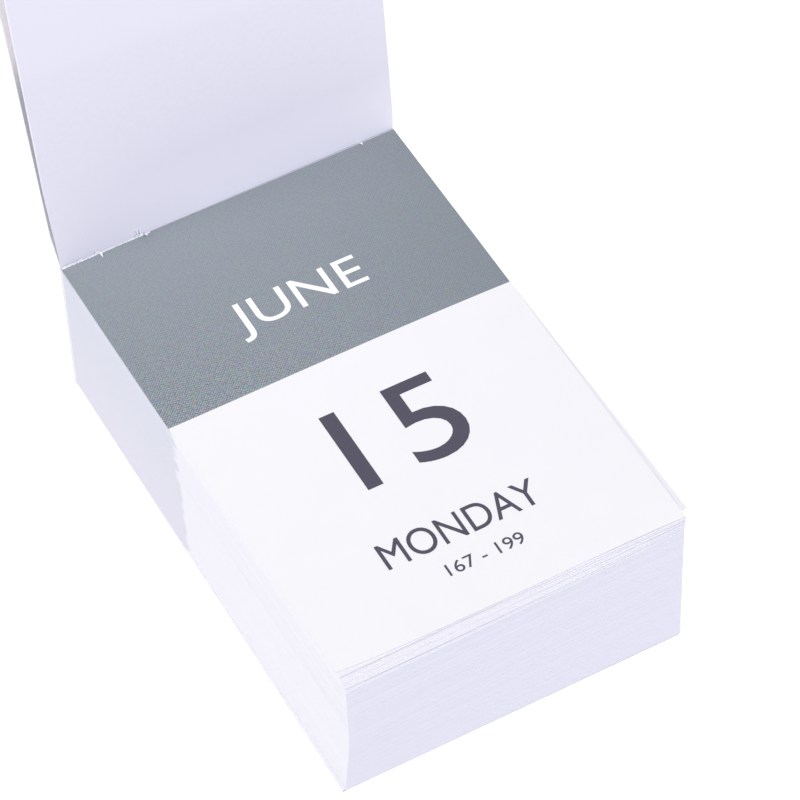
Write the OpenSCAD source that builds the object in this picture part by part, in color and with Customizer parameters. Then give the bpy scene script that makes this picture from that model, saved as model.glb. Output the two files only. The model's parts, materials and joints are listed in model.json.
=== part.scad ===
// A glue-bound block calendar in a creased card cover, opened at a day in June.
// The leaf of the day lies on the block. The leaf before it has been turned up and stands
// on the bound edge, with the flap of the cover a little further open behind it.
// Millimetres. X runs to the right, Y to the rear, where the leaves are bound, and Z up.
// The origin is on the base, under the middle of the leaves.

/* [Leaves] */
// Width of a leaf
leaf_w = 65; // [50:1:100]
// Length of a leaf, from its bound edge to its fore edge
leaf_l = 100; // [70:1:150]
// Thickness of a leaf
leaf_t = 0.145; // [0.1:0.005:0.25]
// Air between one leaf and the next
leaf_air = 0.01; // [0.005:0.001:0.02]
// How far the trimmed edges of the leaves scatter to either side
edge_scatter = 0.06; // [0:0.01:0.15]

/* [Loose leaves] */
// Angle at which each loose leaf lies above the one below it
fan_angle = 0.03; // [0.005:0.005:0.1]
// How far the fore edges of the loose leaves lie behind the block's
loose_setback = 0.6; // [0:0.1:3]
// How much further back the fore edge of the day's leaf lies
day_setback = 0.7; // [0:0.1:4]
// How far the fore edge of the day's leaf has drifted to the left
day_drift = 0.4; // [0:0.1:2]

/* [Cover] */
// Thickness of the cover's card
card_t = 0.5; // [0.3:0.05:1]
// Thickness of the glue film between the bound edges and the cover's spine
glue_t = 0.3; // [0.15:0.05:0.8]
// Clearance round the crease that the flap and the leaves turn on
crease_gap = 0.03; // [0.02:0.01:0.1]

/* [Opening] */
// Angle of the turned leaf above the flat
turned_angle = 98; // [60:1:110]
// How much further open the flap stands behind the turned leaf
flap_lead = 5; // [1:1:20]
// How far the flap can drop below the level behind the block, before it meets the desk
flap_drop = 15; // [0:1:18]

/* [Hidden] */
month_names = ["july", "august", "september", "october", "november", "december"];
month_days = [31, 31, 30, 31, 30, 31];
june_days = [for (day = [14 : 30]) day];
golden_angle = 137.5;
paper_white = "#f6f5fb";
card_grey = "#d9d4d8";
glue_clear = "#efe9d8";
$fn = 48;

turned_day = june_days[0];
shown_day = june_days[1];
last_day = june_days[len(june_days) - 1];
pitch = leaf_t + leaf_air;
bound_y = leaf_l / 2;
fore_y = -leaf_l / 2;
spine_y = bound_y + glue_t;
block_top = card_t + leaves_from(0) * pitch;
turned_top = block_top + (level_of(turned_day) + 1) * pitch;
crease_y = spine_y + card_t / 2;
crease_z = turned_top + crease_gap + card_t / 2;
flap_angle = turned_angle + flap_lead;
// Highest that the spine can reach under the flap at its furthest
spine_top = crease_z - crease_gap - card_t / 2 * (tan(flap_drop) + 1 / cos(flap_drop));

function june_node(day) = str("june_", day, "_leaf");
function month_node(month) = str(month_names[month], "_leaves");

// Number of leaves in a month and all the later ones, which lie below it
function leaves_from(month) = month == len(month_days) ? 0 : month_days[month] + leaves_from(month + 1);

// Place of a June leaf above the block, with the last day of June at 0
function level_of(day) = last_day - day;
function level_z(level) = block_top + leaf_air + level * pitch;

// Scatter of the trimmed edges, which goes round without repeating
function scatter(leaf) = edge_scatter * sin(leaf * golden_angle);

// One leaf lying flat, with its fore edge set back and drifted to the left
module leaf_sheet(z, setback, drift) {
    translate([0, 0, z])
        linear_extrude(leaf_t)
            polygon([
                [-leaf_w / 2, bound_y],
                [leaf_w / 2, bound_y],
                [leaf_w / 2 - drift, fore_y + setback],
                [-leaf_w / 2 - drift, fore_y + setback]
            ]);
}

// A round bar along the crease
module crease_bar(radius, length) {
    translate([0, crease_y, crease_z])
        rotate([0, 90, 0])
            cylinder(r = radius, h = length, center = true);
}

// Turns what is drawn lying flat up and over to the rear, on the crease
module turned_up(angle) {
    translate([0, crease_y, crease_z])
        rotate([-angle, 0, 0])
            translate([0, -crease_y, -crease_z])
                children();
}

// A leaf that turns on the crease by itself: its root is hollowed to clear the crease
module turning_leaf(day, angle, setback, drift) {
    root_r = norm([crease_y - bound_y, crease_z - level_z(level_of(day))]) + leaf_air;
    turned_up(angle)
        difference() {
            leaf_sheet(level_z(level_of(day)), setback, drift);
            crease_bar(root_r, 2 * leaf_w);
        }
}

module june_leaf(day) {
    level = level_of(day);
    fanned = (level + 1) * fan_angle;
    drift = day_drift * (level + 1) / (level_of(shown_day) + 1);
    color(paper_white)
        if (day == turned_day)
            turning_leaf(day, turned_angle, 0, 0);
        else if (day == shown_day)
            turning_leaf(day, fanned, loose_setback + day_setback, drift);
        else
            turned_up(fanned)
                leaf_sheet(level_z(level), loose_setback + scatter(day), drift);
}

module month_leaves(month) {
    below = leaves_from(month + 1);
    color(paper_white)
        for (leaf = [below : below + month_days[month] - 1])
            leaf_sheet(card_t + leaf_air + leaf * pitch, scatter(leaf), scatter(leaf + 1));
}

module cover_back() {
    color(card_grey)
        translate([-leaf_w / 2, fore_y, 0])
            cube([leaf_w, spine_y - fore_y, card_t]);
}

// The panel behind the bound edge, with the round of the fold at its foot
module cover_spine() {
    color(card_grey)
        rotate([90, 0, 90])
            linear_extrude(leaf_w, center = true) {
                translate([spine_y, card_t])
                    square([card_t, spine_top - card_t]);
                intersection() {
                    translate([spine_y, card_t])
                        circle(card_t);
                    translate([spine_y, 0])
                        square(card_t);
                }
            }
}

module cover_flap() {
    color(card_grey)
        turned_up(flap_angle) {
            translate([-leaf_w / 2, fore_y, crease_z - card_t / 2])
                cube([leaf_w, crease_y - fore_y, card_t]);
            crease_bar(card_t / 2, leaf_w);
        }
}

module spine_glue() {
    color(glue_clear)
        translate([-leaf_w / 2, bound_y, card_t])
            cube([leaf_w, glue_t, level_z(level_of(shown_day)) - card_t]);
}

cover_back();
cover_spine();
cover_flap();
spine_glue();
for (day = june_days)
    june_leaf(day);
for (month = [0 : len(month_names) - 1])
    month_leaves(month);
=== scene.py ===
import json
import math
import random

import bmesh
import bpy
from mathutils import Matrix, Vector


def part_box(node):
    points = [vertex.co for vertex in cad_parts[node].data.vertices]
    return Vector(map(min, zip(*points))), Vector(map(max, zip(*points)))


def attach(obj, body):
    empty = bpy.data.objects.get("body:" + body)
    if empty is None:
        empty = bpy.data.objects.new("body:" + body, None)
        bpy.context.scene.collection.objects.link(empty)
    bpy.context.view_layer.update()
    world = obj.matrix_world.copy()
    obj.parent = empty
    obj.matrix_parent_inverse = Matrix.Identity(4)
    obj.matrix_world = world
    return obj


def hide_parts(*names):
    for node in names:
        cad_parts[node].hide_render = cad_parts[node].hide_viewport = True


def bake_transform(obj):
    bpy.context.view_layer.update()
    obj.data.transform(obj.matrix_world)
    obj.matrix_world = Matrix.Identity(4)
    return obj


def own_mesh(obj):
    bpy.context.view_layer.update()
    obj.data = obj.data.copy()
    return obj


# Block calendar, opened at a day in June: a thick glued pad of leaves in a creased card cover.
# The frame gives the sizes in metres. Settings that are marked mm are in millimetres.
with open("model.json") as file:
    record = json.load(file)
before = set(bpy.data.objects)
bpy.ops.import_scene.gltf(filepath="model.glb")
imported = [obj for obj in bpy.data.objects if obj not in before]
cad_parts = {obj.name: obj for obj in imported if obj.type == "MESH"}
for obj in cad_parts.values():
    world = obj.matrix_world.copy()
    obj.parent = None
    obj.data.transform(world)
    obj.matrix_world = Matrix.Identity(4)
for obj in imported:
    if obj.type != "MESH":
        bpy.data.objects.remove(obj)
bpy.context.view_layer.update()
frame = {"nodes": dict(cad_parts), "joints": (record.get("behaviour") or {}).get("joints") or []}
mm = 0.001

backLow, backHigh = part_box("cover_back")
leafWidth = backHigh.x - backLow.x
boundY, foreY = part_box("spine_glue")[0].y, backLow.y  # bound edge at the rear, fore edge at the front
leafLength = boundY - foreY
cardThick = backHigh.z - backLow.z
crease = Vector(frame["joints"][0]["pos_m"])
monthDays = {"december": 31, "november": 30, "october": 31, "september": 30, "august": 31, "july": 31}
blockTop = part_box("july_leaves")[1].z
leafPitch = (blockTop - cardThick) / sum(monthDays.values())
paperShare = 0.94  # of the pitch; the rest is air
leafThick = leafPitch * paperShare
bandEnd = 41.12  # mm from the bound edge to the end of the printed band
halfWidth, lengthMm, boundMm, foreMm = leafWidth / mm / 2, leafLength / mm, boundY / mm, foreY / mm
blockTopMm, pitchMm, cardMm = blockTop / mm, leafPitch / mm, cardThick / mm
print("frame read: leaf", round(2 * halfWidth, 2), "x", round(lengthMm, 2), "pitch", round(pitchMm, 4))


def linearColour(hexValue, share=1.0):  # sRGB hex to linear, made dimmer or paler by a share
    channels = [int(hexValue[i:i + 2], 16) / 255 for i in (1, 3, 5)]
    linear = [c / 12.92 if c <= 0.04045 else ((c + 0.055) / 1.055) ** 2.4 for c in channels]
    return [min(1.0, c * share) for c in linear] + [1.0]


def addNode(tree, kind, inputs=None, **settings):
    node = tree.nodes.new(kind)
    for key, value in settings.items():
        setattr(node, key, value)
    for socket, value in (inputs or {}).items():
        if isinstance(value, bpy.types.NodeSocket):
            tree.links.new(value, node.inputs[socket])
        else:
            node.inputs[socket].default_value = value
    return node


def startMaterial(name):
    material = bpy.data.materials.new(name)
    material.use_nodes = True
    return material, material.node_tree, material.node_tree.nodes["Principled BSDF"]


def finishSurface(tree, shader, colour, roughness, specular, relief=None):  # relief: height, strength and depth in mm
    tree.links.new(colour, shader.inputs["Base Color"])
    shader.inputs["Roughness"].default_value = roughness
    shader.inputs["Specular IOR Level"].default_value = specular
    if relief:
        height, strength, depth = relief
        bump = addNode(tree, "ShaderNodeBump", {"Height": height, "Strength": strength, "Distance": depth * mm})
        tree.links.new(bump.outputs["Normal"], shader.inputs["Normal"])


# Materials

bandLook = {  # a grey offset tint: colours, sizes in mm, and shares of the tone
    "pale": "#a8b0b5", "dark": "#4e565b", "turn": 45.0, "jitter": 0.3, "dotEdge": (0.12, 0.65), "soft": 0.05,
    "dot": 0.38,  # coarser than the real 0.17 mm, so that the dots show
    "sharpest": 0.7, "least": 0.2, "growth": 2.0, "stray": 0.2,
    # level and the rear values make the tone paler at the left and towards the rear: painted sheen of the key light and
    # painted reflection of the standing leaf
    "level": (0.54, 0.45), "levelFrom": -10.0, "rearSheen": 0.06, "rearSheenReach": 35.0,
}


def printedBand(tree, surface, place, across, fromRoot):
    look = bandLook
    turned = addNode(tree, "ShaderNodeMapping", {"Vector": place, "Rotation": (0, 0, math.radians(look["turn"]))})
    dots = addNode(tree, "ShaderNodeTexVoronoi", {
        "Vector": turned.outputs["Vector"], "Scale": 1 / look["dot"], "Randomness": look["jitter"],
    }, voronoi_dimensions="2D")
    tone = addNode(tree, "ShaderNodeMapRange", {
        "Value": dots.outputs["Distance"], "From Min": look["dotEdge"][0], "From Max": look["dotEdge"][1],
        "To Min": 1.0, "To Max": 0.0,
    })
    ahead = addNode(tree, "ShaderNodeMapRange", {"Value": fromRoot, "From Max": bandEnd})
    ahead = addNode(tree, "ShaderNodeMath", {0: ahead.outputs[0], 1: look["growth"]}, operation="POWER")
    aside = addNode(tree, "ShaderNodeMapRange", {
        "Value": across, "From Min": -halfWidth, "From Max": halfWidth, "To Min": look["sharpest"], "To Max": 0.0,
    })
    strength = addNode(tree, "ShaderNodeMath", {  # the dots are sharpest at the front left
        0: ahead.outputs[0], 1: aside.outputs[0], 2: look["least"],
    }, operation="MULTIPLY_ADD").outputs[0]
    rearSheen = addNode(tree, "ShaderNodeMapRange", {  # painted reflection of the standing leaf: the tone is paler towards the rear
        "Value": fromRoot, "From Max": look["rearSheenReach"], "To Min": look["rearSheen"], "To Max": 0.0,
    })
    level = addNode(tree, "ShaderNodeMapRange", {  # painted sheen of the key light: the tone is paler at the left
        "Value": across, "From Min": look["levelFrom"], "From Max": halfWidth,
        "To Min": look["level"][0], "To Max": look["level"][1],
    })
    level = addNode(tree, "ShaderNodeMath", {0: level.outputs[0], 1: rearSheen.outputs[0]})
    tone = addNode(tree, "ShaderNodeMix", {0: strength, 2: level.outputs[0], 3: tone.outputs[0]})
    ink = addNode(tree, "ShaderNodeMix", {
        0: tone.outputs[0], 6: linearColour(look["dark"]), 7: linearColour(look["pale"]),
    }, data_type="RGBA")
    stray = addNode(tree, "ShaderNodeMath", {0: strength, 1: look["stray"]}, operation="MULTIPLY")
    ink = addNode(tree, "ShaderNodeMix", {  # the four inks don't quite meet
        0: stray.outputs[0], 6: ink.outputs[2], 7: dots.outputs["Color"],
    }, data_type="RGBA", blend_type="OVERLAY")
    inside = addNode(tree, "ShaderNodeMapRange", {
        "Value": fromRoot, "From Min": bandEnd - look["soft"], "From Max": bandEnd + look["soft"],
        "To Min": 1.0, "To Max": 0.0,
    })
    return addNode(tree, "ShaderNodeMix", {
        0: inside.outputs[0], 6: surface, 7: ink.outputs[2],
    }, data_type="RGBA").outputs[2]


backLook = {  # the back of the turned leaf: colours, sizes in mm, and shares
    "band": "#d2d2dc", "bandEnd": 38.93, "slant": 0.076, "soft": 1.5, "rootLightFade": (6.0, 26.0),
    "mottle": 1.0, "mottleRange": (0.3, 0.7), "mottleShare": 0.8,
    # root: painted light near the root, against the shade of the crease
    "root": "#e5e4ec", "rootLightReach": 13.0, "rootLightSide": (-32.0, -4.0),
    # a painted highlight along the left cut edge
    "leftEdgeHighlight": "#f1f0f8", "leftEdgeHighlightWidth": 0.25, "leftEdgeHighlightFade": (8.0, 26.0),
}


def bandThrough(tree, surface, place, across, fromRoot):
    look = backLook

    def layer(under, colour, *factors):  # lays a colour over what is under it, as far as all the factors let it
        share = factors[0].outputs[0]
        for factor in factors[1:]:
            share = addNode(tree, "ShaderNodeMath", {0: share, 1: factor.outputs[0]}, operation="MULTIPLY").outputs[0]
        return addNode(tree, "ShaderNodeMix", {
            0: share, 6: under, 7: linearColour(colour),
        }, data_type="RGBA").outputs[2]

    mottle = addNode(tree, "ShaderNodeTexNoise", {
        "Vector": place, "Scale": 1 / look["mottle"], "Detail": 4.0, "Roughness": 0.75,
    })
    slanted = addNode(tree, "ShaderNodeMath", {0: across, 1: look["slant"], 2: fromRoot}, operation="MULTIPLY_ADD")
    inside = addNode(tree, "ShaderNodeMapRange", {
        "Value": slanted.outputs[0], "From Min": look["bandEnd"] - look["soft"],
        "From Max": look["bandEnd"] + look["soft"], "To Min": 1.0, "To Max": 0.0,
    }, interpolation_type="SMOOTHSTEP")
    rootLightFade = addNode(tree, "ShaderNodeMapRange", {
        "Value": fromRoot, "From Min": look["rootLightFade"][0], "From Max": look["rootLightFade"][1],
    })
    share = addNode(tree, "ShaderNodeMapRange", {
        "Value": mottle.outputs["Fac"], "From Min": look["mottleRange"][0], "From Max": look["mottleRange"][1],
        "To Min": 0.0, "To Max": look["mottleShare"],
    })
    surface = layer(surface, look["band"], inside, share, rootLightFade)  # in small clouds; it fades out towards the root, which is painted light against the shade of the crease
    # painted light: paler near the root, except at the far left, against the shade of the crease
    near = addNode(tree, "ShaderNodeMapRange", {
        "Value": fromRoot, "From Min": 0.0, "From Max": look["rootLightReach"], "To Min": 1.0, "To Max": 0.0,
    })
    side = addNode(tree, "ShaderNodeMapRange", {
        "Value": across, "From Min": look["rootLightSide"][0], "From Max": look["rootLightSide"][1],
    })
    surface = layer(surface, look["root"], near, side)
    leftEdgeHighlight = addNode(tree, "ShaderNodeMapRange", {
        "Value": across, "From Min": -halfWidth, "From Max": look["leftEdgeHighlightWidth"] - halfWidth,
        "To Min": 1.0, "To Max": 0.0,
    })
    far = addNode(tree, "ShaderNodeMapRange", {
        "Value": fromRoot, "From Min": look["leftEdgeHighlightFade"][0], "From Max": look["leftEdgeHighlightFade"][1],
    })
    return layer(surface, look["leftEdgeHighlight"], leftEdgeHighlight, far)  # painted highlight along the left cut edge, away from the root


paperLook = {  # colours, and sizes in mm; loose is a shade darker than the page, painted shade of the loose leaves' half-shaded steps at the fore edge; back and edge are darker and bluer than the page, partly painted shade of the gaps between leaves
    "page": "#ebeae9", "loose": "#e5e4e5", "back": "#d9d8e1", "edge": "#d3d3dd", "looseEdge": "#dcdce5",
    "cloud": 9.0, "cloudDim": 0.975, "fibre": 0.35, "fibreDepth": 0.02,
}


def uncoatedPaper(name, colour, printed=False, showThrough=False):
    # wood-free offset paper, calendered: matt, faintly cloudy; the ink gives it a little sheen
    material, tree, shader = startMaterial(name)
    place = addNode(tree, "ShaderNodeUVMap", uv_map="leafPlace").outputs["UV"]  # mm across and from the bound edge
    across, fromRoot = addNode(tree, "ShaderNodeSeparateXYZ", {"Vector": place}).outputs[:2]
    cloud = addNode(tree, "ShaderNodeTexNoise", {"Vector": place, "Scale": 1 / paperLook["cloud"], "Detail": 3.0})
    surface = addNode(tree, "ShaderNodeMix", {
        0: cloud.outputs["Fac"], 6: linearColour(colour, paperLook["cloudDim"]), 7: linearColour(colour),
    }, data_type="RGBA").outputs[2]
    if printed:
        surface = printedBand(tree, surface, place, across, fromRoot)
    if showThrough:
        surface = bandThrough(tree, surface, place, across, fromRoot)
    fibre = addNode(tree, "ShaderNodeTexNoise", {"Vector": place, "Scale": 1 / paperLook["fibre"], "Detail": 3.0})
    relief = (fibre.outputs["Fac"], 0.15, paperLook["fibreDepth"])
    finishSurface(tree, shader, surface, 0.5 if printed else 0.85, 0.4 if printed else 0.2, relief)
    return material


edgeLook = {  # sizes in mm, shares, and tints that multiply the paper's colour
    "streak": 0.6, "streakLength": 100 / 3, "dim": 0.99,  # about four leaves, since one is too fine to show
    "teeth": 0.6, "toothHeights": (14, 30), "toothReach": (6, 12), "slant": -0.085, "ahead": 2.4, "soft": 0.2,
    "tintHeights": (4, 30), "tintFoot": "#efeef4", "tintTop": "#e9ecf2",
    "looseHeights": (30.3, 31.5), "looseTint": "#b3babf", "looseShare": 0.7,
}


def trimmedEdges(name, colour):
    # guillotined paper edges: matt, in faint streaks along the leaves, greyer where the printed band runs off the side
    look = edgeLook
    material, tree, shader = startMaterial(name)
    place = addNode(tree, "ShaderNodeTexCoord").outputs["Object"]
    where = addNode(tree, "ShaderNodeSeparateXYZ", {"Vector": place}).outputs
    along = 1 / (look["streakLength"] * mm)
    rows = addNode(tree, "ShaderNodeMapping", {
        "Vector": place, "Scale": (along, along, 1 / (look["streak"] * mm)),
    }).outputs["Vector"]
    streak = addNode(tree, "ShaderNodeTexNoise", {
        "Vector": rows, "Scale": 1.0, "Detail": 3.0, "Roughness": 0.6,
    }).outputs["Fac"]
    paper = addNode(tree, "ShaderNodeMix", {
        0: streak, 6: linearColour(colour, look["dim"]), 7: linearColour(colour),
    }, data_type="RGBA")
    teeth = addNode(tree, "ShaderNodeTexNoise", {
        "Vector": rows, "Scale": look["teeth"], "Detail": 3.0, "Roughness": 0.75,
    })
    teeth = addNode(tree, "ShaderNodeMath", {0: teeth.outputs["Fac"], 1: 0.5}, operation="SUBTRACT")
    reach = addNode(tree, "ShaderNodeMapRange", {
        "Value": where["Z"], "From Min": look["toothHeights"][0] * mm, "From Max": look["toothHeights"][1] * mm,
        "To Min": look["toothReach"][0] * mm, "To Max": look["toothReach"][1] * mm,
    })
    slant = addNode(tree, "ShaderNodeMath", {  # the lower leaves reach further forward
        0: where["Z"], 1: look["slant"], 2: where["Y"],
    }, operation="MULTIPLY_ADD")
    ragged = addNode(tree, "ShaderNodeMath", {
        0: teeth.outputs[0], 1: reach.outputs[0], 2: slant.outputs[0],
    }, operation="MULTIPLY_ADD")
    bandMm = boundMm - bandEnd - look["ahead"]
    bleed = addNode(tree, "ShaderNodeMapRange", {
        "Value": ragged.outputs[0], "From Min": (bandMm - look["soft"]) * mm, "From Max": (bandMm + look["soft"]) * mm,
    })
    height = addNode(tree, "ShaderNodeMapRange", {
        "Value": where["Z"], "From Min": look["tintHeights"][0] * mm, "From Max": look["tintHeights"][1] * mm,
    })
    tint = addNode(tree, "ShaderNodeMix", {  # more ink at the top
        0: height.outputs[0], 6: linearColour(look["tintFoot"]), 7: linearColour(look["tintTop"]),
    }, data_type="RGBA")
    above = addNode(tree, "ShaderNodeMapRange", {
        "Value": where["Z"], "From Min": look["looseHeights"][0] * mm, "From Max": look["looseHeights"][1] * mm,
        "To Max": look["looseShare"],
    })
    above = addNode(tree, "ShaderNodeMath", {0: above.outputs[0], 1: streak}, operation="MULTIPLY")
    tint = addNode(tree, "ShaderNodeMix", {
        0: above.outputs[0], 6: tint.outputs[2], 7: linearColour(look["looseTint"]),
    }, data_type="RGBA")
    tinted = addNode(tree, "ShaderNodeMix", {
        0: bleed.outputs[0], 6: paper.outputs[2], 7: tint.outputs[2],
    }, data_type="RGBA", blend_type="MULTIPLY")
    finishSurface(tree, shader, tinted.outputs[2], 0.9, 0.2, (streak, 0.02, 0.05))
    return material


cardLook = {  # colours, and sizes in mm; inner is paler than the lining: painted light on the face in the shade behind the turned leaf
    "lining": "#e0dfe9", "inside": "#e7e6ef", "spine": "#c9c9d5", "inner": "#fdf8ff", "cut": "#b6b6c0",
    "band": "#d8d4dd", "bandReach": 40.5, "bandSoft": 4.5,
    "fleckSize": 1.4, "fleckRange": (0.35, 0.65), "fleckDim": 0.94,
}


def whiteLinedCard(name, colour, banded=False):
    # white-lined chipboard: warm grey, faintly flecked with recycled fibre, matt
    material, tree, shader = startMaterial(name)
    place = addNode(tree, "ShaderNodeTexCoord").outputs["Object"]
    flecks = addNode(tree, "ShaderNodeTexNoise", {
        "Vector": place, "Scale": 1 / (cardLook["fleckSize"] * mm), "Detail": 5.0, "Roughness": 0.65,
    }).outputs["Fac"]
    tone = addNode(tree, "ShaderNodeMapRange", {
        "Value": flecks, "From Min": cardLook["fleckRange"][0], "From Max": cardLook["fleckRange"][1],
    })
    surface = addNode(tree, "ShaderNodeMix", {
        0: tone.outputs[0], 6: linearColour(colour, cardLook["fleckDim"]), 7: linearColour(colour),
    }, data_type="RGBA").outputs[2]
    if banded:  # the inner face is printed grey as far as the leaves' band
        place = addNode(tree, "ShaderNodeUVMap", uv_map="leafPlace").outputs["UV"]
        fromRoot = addNode(tree, "ShaderNodeSeparateXYZ", {"Vector": place}).outputs["Y"]
        inside = addNode(tree, "ShaderNodeMapRange", {
            "Value": fromRoot, "From Min": cardLook["bandReach"] - cardLook["bandSoft"],
            "From Max": cardLook["bandReach"] + cardLook["bandSoft"], "To Min": 1.0, "To Max": 0.0,
        })
        surface = addNode(tree, "ShaderNodeMix", {
            0: inside.outputs[0], 6: surface, 7: linearColour(cardLook["band"]),
        }, data_type="RGBA").outputs[2]
    finishSurface(tree, shader, surface, 0.7, 0.3, (flecks, 0.1, 0.03))
    return material


glueLook = {"ridge": "#cfcfdb", "film": "#dadae4", "strokeLength": 9.0, "strokeWidth": 0.7}  # colours, and sizes in mm


def paddingGlue():  # dried PVA padding compound: milky, brushed on in ridges along the spine, with a soft sheen
    material, tree, shader = startMaterial("driedPvaPaddingGlue")
    place = addNode(tree, "ShaderNodeTexCoord").outputs["Object"]
    along = 1 / (glueLook["strokeLength"] * mm)
    strokes = addNode(tree, "ShaderNodeMapping", {
        "Vector": place, "Scale": (along, along, 1 / (glueLook["strokeWidth"] * mm)),
    })
    brush = addNode(tree, "ShaderNodeTexNoise", {
        "Vector": strokes.outputs["Vector"], "Scale": 1.0, "Detail": 3.0,
    }).outputs["Fac"]
    film = addNode(tree, "ShaderNodeMix", {
        0: brush, 6: linearColour(glueLook["ridge"]), 7: linearColour(glueLook["film"]),
    }, data_type="RGBA")
    finishSurface(tree, shader, film.outputs[2], 0.38, 0.5, (brush, 0.4, 0.1))
    shader.inputs["IOR"].default_value = 1.46
    return material


inkLook = {"dark": "#4f4d59", "uneven": 0.8, "paler": 1.12}  # colour, size in mm, and how pale the thin places are


def printInk(name, colour, roughness):  # offset ink on uncoated paper: sunk in, matt, slightly uneven
    material, tree, shader = startMaterial(name)
    place = addNode(tree, "ShaderNodeTexCoord").outputs["Object"]
    uneven = addNode(tree, "ShaderNodeTexNoise", {
        "Vector": place, "Scale": 1 / (inkLook["uneven"] * mm), "Detail": 3.0,
    })
    ink = addNode(tree, "ShaderNodeMix", {
        0: uneven.outputs["Fac"], 6: linearColour(colour), 7: linearColour(colour, inkLook["paler"]),
    }, data_type="RGBA")
    finishSurface(tree, shader, ink.outputs[2], roughness, 0.2)
    return material


tornLook = {"shade": "#e4e4ec", "light": "#ffffff", "fibre": 0.15}  # colours, and size in mm


def tornFibre():  # paper torn off the glue: loose white fibres, quite matt
    material, tree, shader = startMaterial("tornPaperFibre")
    place = addNode(tree, "ShaderNodeTexCoord").outputs["Object"]
    fibres = addNode(tree, "ShaderNodeTexNoise", {
        "Vector": place, "Scale": 1 / (tornLook["fibre"] * mm), "Detail": 3.0, "Roughness": 0.7,
    }).outputs["Fac"]
    surface = addNode(tree, "ShaderNodeMix", {
        0: fibres, 6: linearColour(tornLook["shade"]), 7: linearColour(tornLook["light"]),
    }, data_type="RGBA")
    finishSurface(tree, shader, surface.outputs[2], 0.95, 0.1, (fibres, 0.5, 0.05))
    return material


plainPaper = uncoatedPaper("uncoatedLeafPaper", paperLook["back"])
printedPaper = uncoatedPaper("offsetPrintedLeafFace", paperLook["page"], printed=True)
turnedPaper = uncoatedPaper("uncoatedLeafBack", paperLook["back"], showThrough=True)
edgePaper = trimmedEdges("guillotinedPaperEdges", paperLook["edge"])
looseEdge = trimmedEdges("guillotinedLooseEdges", paperLook["looseEdge"])
outerCard = whiteLinedCard("whiteLinedCard", cardLook["lining"])
liningCard = whiteLinedCard("whiteLinedCardInside", cardLook["inside"])
spineCard = whiteLinedCard("whiteLinedCardTintedSpine", cardLook["spine"])
innerCard = whiteLinedCard("whiteLinedCardPrintedInside", cardLook["inner"], banded=True)
cutCard = whiteLinedCard("cutEdgeOfCard", cardLook["cut"])
# the loose leaves' paper is a shade darker than the page: painted shade
looseShadedPaper = uncoatedPaper("offsetPrintedLooseLeafShaded", paperLook["loose"], printed=True)
glueFilm = paddingGlue()
darkInk = printInk("darkGreyOffsetInk", inkLook["dark"], 0.6)
bareLetters = printInk("paperLeftBareInTheBand", paperLook["page"], 0.85)
tornPaper = tornFibre()
print("materials made")


# The block: one Geometry Nodes tree stacks the leaves of a month

blockForm = {  # mm; the left side is skewed, less so at its foot, and the right side leans between its foot and its top
    "skewRight": 1.3, "skewForward": 1.4, "footRight": 0.65, "footForward": 0.33, "skewHeight": 17.0,
    "leanFoot": -0.3, "leanTop": 0.16, "leanForward": 0.13, "scatter": 0.012, "groupShift": 0.018,
}
blockRule = {"seed": 6, "driftRate": 0.16, "columns": 7, "rows": 9}


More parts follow.
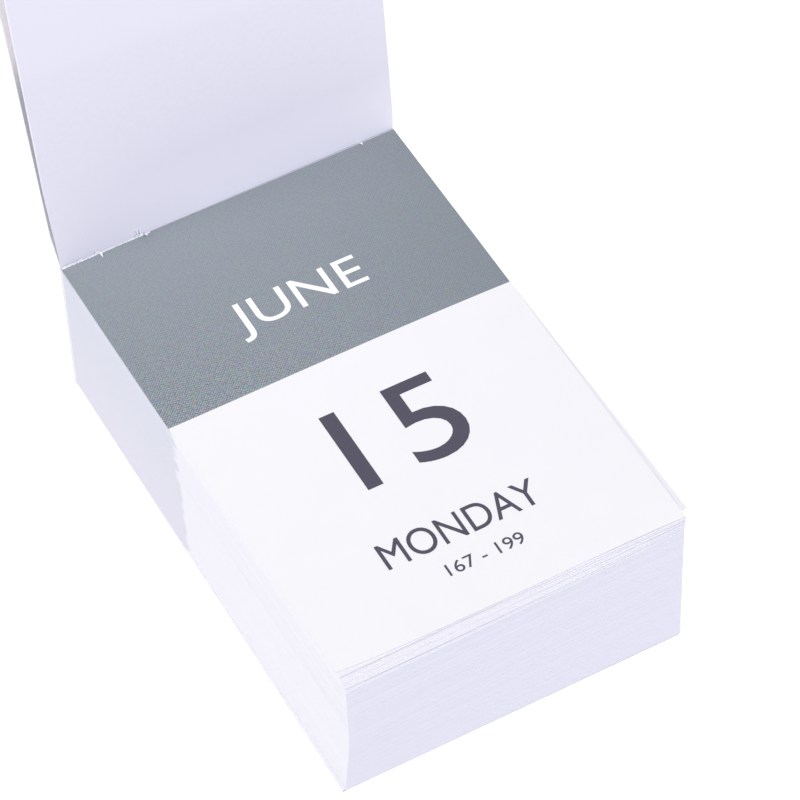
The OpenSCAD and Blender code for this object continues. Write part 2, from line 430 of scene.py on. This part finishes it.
def leafStackTree():
    tree = bpy.data.node_groups.new("leafStack", "GeometryNodeTree")
    for name in ("leaves", "firstLeaf", "seed"):
        tree.interface.new_socket(name, in_out="INPUT", socket_type="NodeSocketInt")
    for name in ["width", "length", "thickness", "pitch", "base", "top"] + list(blockForm):
        tree.interface.new_socket(name, in_out="INPUT", socket_type="NodeSocketFloat")
    tree.interface.new_socket("paper", in_out="INPUT", socket_type="NodeSocketMaterial")
    tree.interface.new_socket("Geometry", in_out="OUTPUT", socket_type="NodeSocketGeometry")
    given = addNode(tree, "NodeGroupInput").outputs

    start = addNode(tree, "ShaderNodeCombineXYZ", {"Z": given["base"]})
    step = addNode(tree, "ShaderNodeCombineXYZ", {"Z": given["pitch"]})
    rows = addNode(tree, "GeometryNodeMeshLine", {
        "Count": given["leaves"], "Start Location": start.outputs[0], "Offset": step.outputs[0],
    }, mode="OFFSET")
    index = addNode(tree, "GeometryNodeInputIndex")
    number = addNode(tree, "ShaderNodeMath", {0: index.outputs[0], 1: given["firstLeaf"]})
    numbered = addNode(tree, "GeometryNodeStoreNamedAttribute", {
        "Geometry": rows.outputs["Mesh"], "Name": "leaf", "Value": number.outputs[0],
    }, data_type="FLOAT", domain="POINT")
    size = addNode(tree, "ShaderNodeCombineXYZ", {
        "X": given["width"], "Y": given["length"], "Z": given["thickness"],
    })
    leaf = addNode(tree, "GeometryNodeMeshCube", {
        "Size": size.outputs[0], "Vertices X": blockRule["columns"], "Vertices Y": blockRule["rows"], "Vertices Z": 2,
    })
    placed = addNode(tree, "GeometryNodeInstanceOnPoints", {
        "Points": numbered.outputs["Geometry"], "Instance": leaf.outputs["Mesh"],
    })
    joined = addNode(tree, "GeometryNodeRealizeInstances", {"Geometry": placed.outputs["Instances"]})

    position = addNode(tree, "GeometryNodeInputPosition")
    where = addNode(tree, "ShaderNodeSeparateXYZ", {0: position.outputs[0]}).outputs
    right = addNode(tree, "ShaderNodeMath", {0: where["X"], 1: given["width"]}, operation="DIVIDE")
    rear = addNode(tree, "ShaderNodeMath", {0: where["Y"], 1: given["length"]}, operation="DIVIDE")
    fromRight = addNode(tree, "ShaderNodeMath", {0: 0.5, 1: right.outputs[0]}, operation="SUBTRACT")
    fromRoot = addNode(tree, "ShaderNodeMath", {0: 0.5, 1: rear.outputs[0]}, operation="SUBTRACT")
    rightShare = addNode(tree, "ShaderNodeMath", {0: 1.0, 1: fromRight.outputs[0]}, operation="SUBTRACT")
    lean = addNode(tree, "ShaderNodeMapRange", {
        "Value": where["Z"], "From Max": given["top"], "To Min": given["leanFoot"], "To Max": given["leanTop"],
    })
    lower = addNode(tree, "ShaderNodeMapRange", {
        "Value": where["Z"], "From Max": given["top"], "To Min": given["leanForward"], "To Max": 0.0,
    })
    leafNumber = addNode(tree, "GeometryNodeInputNamedAttribute", {"Name": "leaf"}, data_type="FLOAT")
    leafNumber = leafNumber.outputs["Attribute"]
    slow = addNode(tree, "ShaderNodeMath", {0: leafNumber, 1: blockRule["driftRate"]}, operation="MULTIPLY")
    drift = addNode(tree, "ShaderNodeTexNoise", {  # neighbours drift together
        "W": slow.outputs[0], "Scale": 1.0, "Detail": 2.0,
    }, noise_dimensions="1D")
    drift = addNode(tree, "ShaderNodeMath", {0: drift.outputs["Fac"], 1: 0.5}, operation="SUBTRACT")
    shift = []
    for extra, way, leaning, group in ((0, "Right", lean, 0.0), (1, "Forward", lower, given["groupShift"])):
        skew = addNode(tree, "ShaderNodeMapRange", {
            "Value": where["Z"], "From Max": given["skewHeight"],
            "To Min": given["foot" + way], "To Max": given["skew" + way],
        }, interpolation_type="SMOOTHSTEP")
        seed = addNode(tree, "ShaderNodeMath", {0: given["seed"], 1: extra})
        roll = addNode(tree, "FunctionNodeRandomValue", {
            "ID": leafNumber, "Seed": seed.outputs[0], 2: -1.0, 3: 1.0,
        }, data_type="FLOAT")
        move = addNode(tree, "ShaderNodeMath", {0: roll.outputs[1], 1: given["scatter"]}, operation="MULTIPLY")
        for share, amount in ((drift, group), (fromRight, skew.outputs[0]), (rightShare, leaning.outputs[0])):
            move = addNode(tree, "ShaderNodeMath", {
                0: share.outputs[0], 1: amount, 2: move.outputs[0],
            }, operation="MULTIPLY_ADD")
        shift.append(addNode(tree, "ShaderNodeMath", {  # grows towards the fore edge
            0: move.outputs[0], 1: fromRoot.outputs[0],
        }, operation="MULTIPLY"))
    back = addNode(tree, "ShaderNodeMath", {0: shift[1].outputs[0], 1: -1.0}, operation="MULTIPLY")
    offset = addNode(tree, "ShaderNodeCombineXYZ", {"X": shift[0].outputs[0], "Y": back.outputs[0]})
    moved = addNode(tree, "GeometryNodeSetPosition", {
        "Geometry": joined.outputs["Geometry"], "Offset": offset.outputs[0],
    })
    dressed = addNode(tree, "GeometryNodeSetMaterial", {
        "Geometry": moved.outputs["Geometry"], "Material": given["paper"],
    })
    addNode(tree, "NodeGroupOutput", {"Geometry": dressed.outputs["Geometry"]})
    return tree


leafStack = leafStackTree()


def stackLeaves(name, leaves, firstLeaf):
    values = {
        "leaves": leaves, "firstLeaf": firstLeaf, "seed": blockRule["seed"], "width": leafWidth, "length": leafLength,
        "thickness": leafThick, "pitch": leafPitch, "base": cardThick + leafPitch * (firstLeaf + 0.5),
        "top": blockTop, "paper": edgePaper,
    }
    values.update({key: size * mm for key, size in blockForm.items()})
    holder = bpy.data.objects.new(name + "Rule", bpy.data.meshes.new(name + "Rule"))
    bpy.context.scene.collection.objects.link(holder)
    modifier = holder.modifiers.new("leafStack", "NODES")
    modifier.node_group = leafStack
    for socket in leafStack.interface.items_tree:
        if socket.in_out == "INPUT":
            modifier[socket.identifier] = values[socket.name]
    mesh = bpy.data.meshes.new_from_object(holder.evaluated_get(bpy.context.evaluated_depsgraph_get()))
    bpy.data.objects.remove(holder)
    stack = bpy.data.objects.new(name, mesh)
    bpy.context.scene.collection.objects.link(stack)
    return stack


count = 0
for month, days in monthDays.items():
    printedTop = 1 if month == "july" else 0  # the first of July shows its face when the loose leaves lift
    stack = stackLeaves(month + "Leaves", days - printedTop, count)
    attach(stack, "block")
    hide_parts(month + "_leaves")
    count += days
print("block stacked:", count, "leaves")


# Single leaves: thin sheets on a formula, with their own places as UV in millimetres.
# The materials are of the top, the underside, the ends and, where there is a fourth, the sides.

def spanX(u):  # mm, for a place between 0 at the left and 1 at the right
    return (u - 0.5) * 2 * halfWidth


def mix(ends, share):
    return ends[0] * (1 - share) + ends[1] * share


def belly(u, v, power=0.85):  # a sheet that stands up a little in the middle
    return (1 - (2 * u - 1) ** 2) * math.sin(math.pi * max(v, 0) ** power)


def leafSheet(name, form, thickness, materials, across=26, along=44, fromV=0.0, toV=1.0, swell=0.0, crowd=1.5):
    rows = [fromV + (toV - fromV) * (j / along) ** crowd for j in range(along + 1)]  # closer where the root bends
    points, places = [], []
    for side in (0.5, -0.5):
        for v in rows:
            for i in range(across + 1):
                x, y, z = form(i / across, v)
                points.append((x * mm, y * mm, z * mm + side * (thickness + swell * mm * max(v, 0))))
                places.append((spanX(i / across), v * lengthMm))
    wide, sheet = across + 1, (across + 1) * (along + 1)
    faces, kinds = [], []
    for j in range(along):
        for i in range(across):
            a = j * wide + i
            faces.append((a, a + wide, a + wide + 1, a + 1))
            faces.append((sheet + a, sheet + a + 1, sheet + a + wide + 1, sheet + a + wide))
            kinds += [0, 1]
    rim = list(range(wide)) + [j * wide + across for j in range(1, along + 1)]
    rim += [along * wide + i for i in range(across - 1, -1, -1)] + [j * wide for j in range(along - 1, 0, -1)]
    sharp = set()
    for a, b in zip(rim, rim[1:] + rim[:1]):
        faces.append((a, b, sheet + b, sheet + a))
        kinds.append(len(materials) - 1 if a % wide == b % wide else 2)
        sharp |= {(min(a, b), max(a, b)), (min(a, b) + sheet, max(a, b) + sheet)}
    mesh = bpy.data.meshes.new(name)
    mesh.from_pydata(points, [], faces)
    uv = mesh.uv_layers.new(name="leafPlace")
    for loop in mesh.loops:
        uv.data[loop.index].uv = places[loop.vertex_index]
    for polygon, kind in zip(mesh.polygons, kinds):
        polygon.material_index = kind
        polygon.use_smooth = kind < 2
    for edge in mesh.edges:
        edge.use_edge_sharp = tuple(sorted(edge.vertices)) in sharp
    for material in materials:
        mesh.materials.append(material)
    leaf = bpy.data.objects.new(name, mesh)
    bpy.context.scene.collection.objects.link(leaf)
    return leaf


pileForm = {  # mm, at the left and right ends of the fore edge; the pile is the loose leaves
    "leaves": 15, "lastDay": 30, "air": 0.012, "swell": 0.01, "liftPower": 1.35, "dome": 0.5, "bulge": (-0.19, 0.2),
    "forward": {  # of these leaves and, in step, of those between
        0: (1.3, 0.0), 4: (1.15, -0.05), 11: (-0.15, 0.0), 12: (-0.45, -0.05), 13: (-0.33, -0.1), 14: (-0.43, -1.9),
    },
    "forwardPower": 2,
    "right": {0: (1.28, 0.2), 11: (1.06, 0.45), 12: (0.64, 0.55), 14: (0.64, 0.7)},
    "gaps": {2: (0.0, 0.13), 4: (0.26, 0.03), 8: (0.03, 0.1), 11: (0.0, 0.1), 13: (0.17, 0.02)},  # parted under these
    "gapRise": (0.5, 2.5), "recess": {5: 0.06, 8: 0.08, 11: 0.12},  # these lie further back at the right
    "upper": 12, "slack": 0.16, "worn": (0.77, 0.4), "wornPower": 8,  # from this one on, slack with a worn left corner
    "slid": 14, "slidPower": 9, "wedge": (0.42, 0.95),  # the leaf under the page slides out at the right, from here on
}
dayForm = {  # mm; the day's leaf lies on the pile
    "back": (0.15, 0.38), "bow": 0.16, "bowPower": 3, "right": 0.62, "root": (-0.12, 0.12), "clear": -0.02,
    "sag": 0.13, "sagFrom": 0.97, "sagPower": 6,  # it sags where the leaf below has slid back
    "paper": 0.55,  # share of a leaf's thickness, so that its edge is faint
}
dayThick = leafThick * dayForm["paper"]


def between(steps, level):  # values of a leaf, from those of the leaves named above and below it
    low, high = max(k for k in steps if k <= level), min(k for k in steps if k >= level)
    share = (level - low) / max(1, high - low)
    return [mix(ends, share) for ends in zip(steps[low], steps[high])]


def pileHeight(level, u, v):  # the leaves belly up a little in the middle and lie apart in places at the fore edge
    gaps = [gap for under, gap in pileForm["gaps"].items() if under <= level]
    rise = min(1, pileForm["gapRise"][0] + pileForm["gapRise"][1] * u)
    apart = sum(left * rise * (1 - u) + right * u ** 2 for left, right in gaps) + pileForm["air"] * (level + 1)
    dome = pileForm["dome"] * belly(u, v) * (level + 1) / (pileForm["leaves"] + 2)
    return blockTopMm + pitchMm * (level + 0.5) + apart * max(v, 0) ** pileForm["liftPower"] + dome


def pileBulge(u, v):
    return mix(pileForm["bulge"], u) * math.sin(math.pi * max(v, 0))


def dayPlace(u, v):
    worn = (1 - u) ** pileForm["wornPower"]
    root = boundMm - mix(dayForm["root"], u)
    fore = foreMm + dayForm["back"][0] * (1 - u) + dayForm["back"][1] + pileForm["worn"][0] * worn
    fore += dayForm["bow"] * math.sin(math.pi * u ** dayForm["bowPower"])
    x = spanX(u) + (dayForm["right"] + pileForm["worn"][1] * worn) * v + pileBulge(u, v)
    sag = dayForm["sag"] * u ** dayForm["sagPower"] * max(0, v - dayForm["sagFrom"]) / (1 - dayForm["sagFrom"])
    return x, root + (fore - root) * v, pileHeight(pileForm["leaves"], u, v) + dayForm["clear"] - sag


def loosePlace(level):
    forward, right = between(pileForm["forward"], level), between(pileForm["right"], level)
    upper, slid = level >= pileForm["upper"], level == pileForm["slid"]
    bulging = (level + 1) / (pileForm["leaves"] + 1)

    def place(u, v):
        worn = (1 - u) ** pileForm["wornPower"] if upper else 0
        x = spanX(u) + (mix(right, u) + pileForm["worn"][1] * worn) * v + pileBulge(u, v) * bulging
        ahead = mix(forward, u ** pileForm["slidPower" if slid else "forwardPower"])
        ahead -= pileForm["recess"].get(level, 0) * u
        if upper:
            ahead -= pileForm["slack"] * math.sin(math.pi * u)
        if slid:
            start, slide = pileForm["wedge"]
            x += u * slide * max(0, v - start) / (1 - start)
            ahead -= pileForm["worn"][0] * worn
        return x, boundMm - v * (lengthMm + ahead), pileHeight(level, u, v)
    return place


def julyPlace(u, v):  # the first of July, on top of the block
    x = spanX(u) + mix((blockForm["skewRight"], blockForm["leanTop"]), u) * v
    return x, boundMm - v * (lengthMm + blockForm["skewForward"] * (1 - u)), blockTopMm - pitchMm * 0.5


dayLeaf = leafSheet("dayLeaf", dayPlace, dayThick, [printedPaper, plainPaper, looseEdge, edgePaper])
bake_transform(dayLeaf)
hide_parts("june_15_leaf")
for level in range(pileForm["leaves"]):
    day = pileForm["lastDay"] - level
    leaf = leafSheet("looseLeaf%02d" % day, loosePlace(level), leafThick,
                     [looseShadedPaper, plainPaper, looseEdge, edgePaper], across=36, along=20, swell=pileForm["swell"])
    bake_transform(leaf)
    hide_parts("june_%d_leaf" % day)
julyLeaf = leafSheet("julyFirstLeaf", julyPlace, leafThick, [printedPaper, plainPaper, edgePaper], across=8, along=10)
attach(julyLeaf, "block")
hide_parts("july_leaves")
print("day's leaf and loose leaves laid")


# The leaf that has been turned up: laid flat on the day's leaf by the same formula, then turned on the crease

turnedForm = {  # degrees, mm, and shares of the length
    "turn": 97.4, "clear": 0.03, "lift": 1.0, "power": 1.35, "dome": 0.5, "foreSag": 0.22, "sagPower": 5,
    "root": -0.0028, "rootTop": -0.0027, "foot": -0.01, "rootPaper": 0.5,
    "spreadLeft": 0.55, "spreadRight": (0.15, 0.4), "spreadRise": (6, 40), "spreadEnd": 0.35,  # wider at each side
    "twist": 0.124,  # how far its right side hangs back
}
twistStart, twistEnd = (leafWidth / turnedForm["twist"] - leafWidth / 2, 0, 0), (-leafWidth / 2, 0, 0)


def turnUp(mesh, degrees, twisted=False):  # a twisted leaf turns less at its right, and lies flat when it is shut
    for vert in mesh.vertices:
        near = min(1, (twistStart[0] - vert.co.x) / (twistStart[0] - twistEnd[0]))
        share = near ** 2 * (3 - 2 * near) if twisted else 1
        vert.co = crease + Matrix.Rotation(-math.radians(degrees * share), 3, "X") @ (vert.co - crease)


def turnedPlace(u, v):
    past = max(v, 0)
    riseLeft, riseRight = (min(1, rise * past) for rise in turnedForm["spreadRise"])
    wider = turnedForm["spreadRight"][0] + turnedForm["spreadRight"][1] * min(v, turnedForm["spreadEnd"])
    x = spanX(u) + wider * u * riseRight - turnedForm["spreadLeft"] * (1 - u) * riseLeft
    sag = turnedForm["foreSag"] * (1 - (2 * u - 1) ** 2) * past ** turnedForm["sagPower"]
    z = blockTopMm + pitchMm * (pileForm["leaves"] + 1.5) + turnedForm["clear"]
    z += turnedForm["lift"] * past ** turnedForm["power"] + turnedForm["dome"] * belly(u, v) - sag
    return x, boundMm - v * lengthMm, z


pageRoot = (0, boundY, dayPlace(0.5, 0)[2] * mm + dayThick / 2)  # top of the day's leaf at its root
turnedSheet = [printedPaper, turnedPaper, edgePaper]
turnedLeaf = leafSheet("turnedLeaf", turnedPlace, leafThick, turnedSheet, fromV=turnedForm["root"])
turnUp(turnedLeaf.data, turnedForm["turn"], twisted=True)
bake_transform(turnedLeaf)
turnedRoot = leafSheet("turnedLeafRoot", turnedPlace, leafThick * turnedForm["rootPaper"], turnedSheet, along=8,
                       fromV=turnedForm["foot"], toV=turnedForm["rootTop"])  # the bent root, which stays in the glue
turnUp(turnedRoot.data, turnedForm["turn"], twisted=True)
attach(turnedRoot, "day_leaf")
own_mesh(turnedRoot)
for piece in (turnedLeaf, turnedRoot):
    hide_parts("june_14_leaf")
print("turned leaf standing")


# What is left of the torn-off leaves: a ragged line of fibres along the glue and a few flakes

remnantForm = {  # mm
    "line": (-32.4, -15.4), "height": (0.62, 0.4), "ragged": 0.6, "reach": 0.15, "jitter": 0.1, "least": 0.03,
    "thick": 0.03, "thickRise": 0.4, "foot": 0.09, "topAhead": 0.02, "clear": 0.004, "steps": 70, "seed": 3,
    "shredSteps": 6, "taper": (0.85, 1.4), "uneven": (0.85, 0.3), "curl": (1.3, 0.62), "skew": (-0.3, 0.25),
    "shreds": [  # a flake is a few curled shreds: place, width, height, forward and sideways
        (-25.5, 1.1, 1.0, 0.1, -0.25), (-24.9, 0.5, 0.15, 1.2, -0.2), (-29.0, 1.2, 0.85, 0.1, 0.3),
        (-17.6, 0.3, 1.9, 0.1, -0.5), (-17.3, 1.5, 1.0, 0.6, 0.1), (-16.8, 1.0, 0.6, 0.85, 0.5),
        (-17.8, 0.7, 0.8, 0.3, -0.3), (-17.1, 0.3, 1.6, 0.1, -0.25),
        (25.4, 0.4, 0.3, 0.15, -0.2), (25.8, 0.6, 0.1, 0.7, 0.3),
    ],
}


def tornRemnants():
    form = remnantForm
    tear = random.Random(form["seed"])
    torn = bmesh.new()
    footY = boundMm + form["foot"]  # just in front of the turned leaf's root

    def strip(rows):  # a thin closed sheet on a row of pairs of points
        thick = Vector((0, -form["thick"], form["thick"] * form["thickRise"]))
        front = [[torn.verts.new((Vector(p) + thick) * mm) for p in pair] for pair in rows]
        rear = [[torn.verts.new(Vector(p) * mm) for p in pair] for pair in rows]
        for k in range(len(rows) - 1):
            torn.faces.new((front[k][0], front[k][1], front[k + 1][1], front[k + 1][0]))
            torn.faces.new((rear[k][1], rear[k][0], rear[k + 1][0], rear[k + 1][1]))
            for side in (0, 1):
                torn.faces.new((front[k][side], front[k + 1][side], rear[k + 1][side], rear[k][side]))
        for k in (0, -1):
            torn.faces.new((front[k][0], front[k][1], rear[k][1], rear[k][0]))

    def floorAt(x):  # just over the day's leaf at its root
        return dayPlace(x / (2 * halfWidth) + 0.5, 0.0)[2] + dayThick / mm / 2 + form["clear"]

    rows = []
    for k in range(form["steps"] + 1):
        share = k / form["steps"]
        x = mix(form["line"], share)
        tall = mix(form["height"], share) * (1 - form["ragged"] * tear.random())
        lean = form["reach"] * tear.random()
        topX = x + tear.uniform(-form["jitter"], form["jitter"])
        top = (topX, footY - form["topAhead"], floorAt(x) + max(form["least"], tall))
        rows.append(((x, footY - lean, floorAt(x)), top))
    strip(rows)
    for x, width, tall, ahead, aside in form["shreds"]:
        rows = []
        for k in range(form["shredSteps"] + 1):
            t = k / form["shredSteps"]
            taper = 1 - form["taper"][0] * t ** form["taper"][1]
            wide = width * taper * (form["uneven"][0] + form["uneven"][1] * tear.random()) / 2
            rise = tall * math.sin(math.pi * form["curl"][1] * t)
            middle = Vector((x + aside * t, footY - ahead * t ** form["curl"][0], floorAt(x) + rise))
            across = Vector((1, form["skew"][0] * ahead * t, form["skew"][1] * tall * (tear.random() - 0.5)))
            rows.append((middle - across * wide, middle + across * wide))
        strip(rows)
    for vert in torn.verts:  # nothing sinks into the leaf
        vert.co.z = max(vert.co.z, floorAt(vert.co.x / mm) * mm)
    bmesh.ops.recalc_face_normals(torn, faces=torn.faces[:])
    mesh = bpy.data.meshes.new("tornRemnants")
    torn.to_mesh(mesh)
    torn.free()
    mesh.materials.append(tornPaper)
    piece = bpy.data.objects.new("tornRemnants", mesh)
    bpy.context.scene.collection.objects.link(piece)
    return piece


remnants = tornRemnants()
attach(remnants, "day_leaf")
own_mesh(remnants)
print("torn remnants left")


# The cover: the flap on its crease, the back panel, and the spine and the glue as the frame has them

flapForm = {  # degrees, mm, and how the spread at the left comes and goes away from the crease
    "turn": 103.0, "dome": 0.5, "spread": 0.62, "spreadRise": 14, "spreadFall": 1.55, "spreadLeast": 0.3,
    "beadSides": 20,
}


def flapPlace(u, v):
    fall = max(flapForm["spreadLeast"], 1 - flapForm["spreadFall"] * v)
    x = spanX(u) - flapForm["spread"] * (1 - u) * min(1, flapForm["spreadRise"] * v) * fall
    return x, (crease.y - v * (crease.y - foreY)) / mm, crease.z / mm + flapForm["dome"] * belly(u, v)


flap = leafSheet("coverFlap", flapPlace, cardThick, [outerCard, innerCard, outerCard], across=20, along=30)
bead = bmesh.new()
bead.from_mesh(flap.data)
bmesh.ops.create_cone(bead, cap_ends=True, segments=flapForm["beadSides"], depth=leafWidth,
                      radius1=cardThick / 2, radius2=cardThick / 2,
                      matrix=Matrix.Translation(crease) @ Matrix.Rotation(math.pi / 2, 4, "Y"))
bead.to_mesh(flap.data)
bead.free()
turnUp(flap.data, flapForm["turn"])
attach(flap, "cover_flap")
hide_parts("cover_flap")

backForm = {"right": 0.12, "forward": (0.02, -0.05)}  # mm; the back panel is not quite square at its fore edge


def backPlace(u, v):
    x = spanX(u) + backForm["right"] * (1 - u) + blockForm["leanFoot"] * u * v
    return x, backHigh.y / mm - v * ((backHigh.y - foreY) / mm + mix(backForm["forward"], u)), cardMm / 2


backSheet = [liningCard, outerCard, cutCard, edgePaper]  # its sides were trimmed with the leaves
backPanel = leafSheet("backPanel", backPlace, cardThick, backSheet, across=8, along=12)
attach(backPanel, "block")
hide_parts("cover_back")
for node, material in (("cover_spine", spineCard), ("spine_glue", glueFilm)):
    nodeMesh = frame["nodes"][node].data
    nodeMesh.materials.clear()
    nodeMesh.materials.append(material)
print("cover dressed")


# Print: dates in the built-in type, laid on the leaves

printForm = {  # mm: height of the capitals, greatest width, place of the base line from the bound edge, and middle
    "month": {"height": 6.6, "width": 27.0, "base": 28.9, "across": -0.2},
    "date": {"height": 17.6, "width": 31.0, "base": 69.4, "across": 0.7},
    "weekday": {"height": 5.5, "width": 29.0, "base": 85.7, "across": -0.4},
    "count": {"height": 2.5, "width": 14.2, "base": 91.7, "across": 0.3},
}
typeForm = {"film": 0.012, "clear": 0.03, "cell": 2.0, "stretch": 1.12, "curveSteps": 6}  # mm, share, and steps


def setType(name, words, line, place, thickness, material):
    curve = bpy.data.curves.new(name, "FONT")
    curve.body, curve.align_x = words, "CENTER"
    curve.extrude = typeForm["film"] / 2
    curve.resolution_u = typeForm["curveSteps"]
    holder = bpy.data.objects.new(name + "Type", curve)
    bpy.context.scene.collection.objects.link(holder)
    letters = bmesh.new()
    letters.from_mesh(bpy.data.meshes.new_from_object(holder.evaluated_get(bpy.context.evaluated_depsgraph_get())))
    bpy.data.objects.remove(holder)
    low, high = [Vector(f(v.co[i] for v in letters.verts) for i in range(3)) for f in (min, max)]
    tall = line["height"] / high.y
    wide = min(tall * typeForm["stretch"], line["width"] / (high.x - low.x))
    for vert in letters.verts:
        vert.co.x, vert.co.y = (vert.co.x - (low.x + high.x) / 2) * wide, vert.co.y * tall
    half = (high.x - low.x) * wide / 2
    for normal, start, end in (((1, 0, 0), -half, half), ((0, 1, 0), low.y * tall, high.y * tall)):
        cuts = int((end - start) / typeForm["cell"])  # cut into cells so that the type bends with the leaf
        for k in range(1, cuts + 1):
            at = start + k * (end - start) / (cuts + 1)
            bmesh.ops.bisect_plane(letters, geom=letters.verts[:] + letters.edges[:] + letters.faces[:],
                                   plane_co=[at * n for n in normal], plane_no=normal)
    for vert in letters.verts:
        u, v = (vert.co.x + line["across"]) / (2 * halfWidth) + 0.5, (line["base"] - vert.co.y) / lengthMm
        x, y, z = place(u, v)
        vert.co = Vector((x, y, z + thickness / mm / 2 + typeForm["clear"] + vert.co.z)) * mm
    bmesh.ops.recalc_face_normals(letters, faces=letters.faces[:])
    mesh = bpy.data.meshes.new(name)
    letters.to_mesh(mesh)
    letters.free()
    mesh.materials.append(material)
    piece = bpy.data.objects.new(name, mesh)
    bpy.context.scene.collection.objects.link(piece)
    return piece


leafDates = [  # leaf, its words, its formula and the body that it rides on
    ("day", ("JUNE", "15", "MONDAY", "167 - 199"), dayPlace, "day_leaf"),
    ("turned", ("JUNE", "14", "SUNDAY", "166 - 200"), turnedPlace, "turned_leaf"),
    ("loose", ("JUNE", "16", "TUESDAY", "168 - 198"), loosePlace(pileForm["leaves"] - 1), "loose_leaves"),
    ("july", ("", "1", "WEDNESDAY", "183 - 183"), julyPlace, "block"),  # its band is bare
]
for leafName, words, place, body in leafDates:
    thickness = dayThick if leafName == "day" else leafThick
    for part, word in zip(printForm, words):
        if not word:
            continue
        ink = bareLetters if part == "month" else darkInk
        piece = setType(leafName + part.capitalize(), word, printForm[part], place, thickness, ink)
        if leafName == "turned":
            turnUp(piece.data, turnedForm["turn"], twisted=True)
            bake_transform(piece)
        else:
            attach(piece, body)
print("leaves printed")


# Stage, light and camera

cameraView = {  # degrees and mm
    "azimuth": -26.19, "elevation": 51.195, "roll": -2.954, "distance": 814.35, "target": (11.442, 10.134, 11.374),
    "lens": 211.5, "sensor": 36.0, "clip": (10.0, 20000.0),
}
azimuth, elevation, roll = (math.radians(cameraView[k]) for k in ("azimuth", "elevation", "roll"))
outward = math.cos(elevation)
back = Vector((math.sin(azimuth) * outward, -math.cos(azimuth) * outward, math.sin(elevation)))
right = Vector((0, 0, 1)).cross(back).normalized()
up = back.cross(right)
right, up = math.cos(roll) * right + math.sin(roll) * up, math.cos(roll) * up - math.sin(roll) * right
eye = (Vector(cameraView["target"]) + back * cameraView["distance"]) * mm
camera = bpy.data.objects.new("camera", bpy.data.cameras.new("camera"))
camera.data.lens, camera.data.sensor_width = cameraView["lens"], cameraView["sensor"]
camera.data.clip_start, camera.data.clip_end = (reach * mm for reach in cameraView["clip"])
camera.matrix_world = Matrix.Translation(eye) @ Matrix((right, up, back)).transposed().to_4x4()
bpy.context.scene.collection.objects.link(camera)
bpy.context.scene.camera = camera

stageLook = {  # colours, strengths, and sizes in metres
    "floor": "#949496", "glow": 0.835, "glowColour": "#fffef5", "floorSize": 6.0, "floorDrop": 0.0001,
    "world": "#e6ecff", "worldStrength": 0.56,
}
bpy.ops.mesh.primitive_plane_add(size=stageLook["floorSize"], location=(0, 0, -stageLook["floorDrop"]))
floor = bpy.context.object
floor.name = "lightTable"
table, _, tableShader = startMaterial("opalAcrylicLightTable")  # a lit opal sheet: no hard shadows, nearly white
tableShader.inputs["Base Color"].default_value = linearColour(stageLook["floor"])
tableShader.inputs["Roughness"].default_value = 0.6
tableShader.inputs["Emission Color"].default_value = linearColour(stageLook["glowColour"])
tableShader.inputs["Emission Strength"].default_value = stageLook["glow"]
floor.data.materials.append(table)

world = bpy.data.worlds.new("studio")
world.use_nodes = True
world.node_tree.nodes["Background"].inputs["Color"].default_value = linearColour(stageLook["world"])
world.node_tree.nodes["Background"].inputs["Strength"].default_value = stageLook["worldStrength"]
bpy.context.scene.world = world

lampForm = [  # place and aim in metres, size in metres, power in watts, and the light's linear colour
    {"name": "keySoftbox", "at": (-6.0, -1.0, 5.23), "aim": (0, 0, 0.03), "size": 6.0, "power": 598.4,
     "colour": (1.0, 0.959, 0.856)},
    {"name": "fillSoftbox", "at": (1.1, -1.5, 0.9), "aim": (0, 0, 0.03), "size": 1.2, "power": 20.3,
     "colour": (0.876, 0.857, 1.0)},
]
for lamp in lampForm:
    light = bpy.data.lights.new(lamp["name"], "AREA")
    light.size, light.energy, light.color = lamp["size"], lamp["power"], lamp["colour"]
    stand = bpy.data.objects.new(lamp["name"], light)
    stand.location = lamp["at"]
    stand.rotation_euler = (Vector(lamp["aim"]) - Vector(lamp["at"])).to_track_quat("-Z", "Y").to_euler()
    bpy.context.scene.collection.objects.link(stand)

bpy.context.scene.view_settings.view_transform = "Standard"
print("stage set")
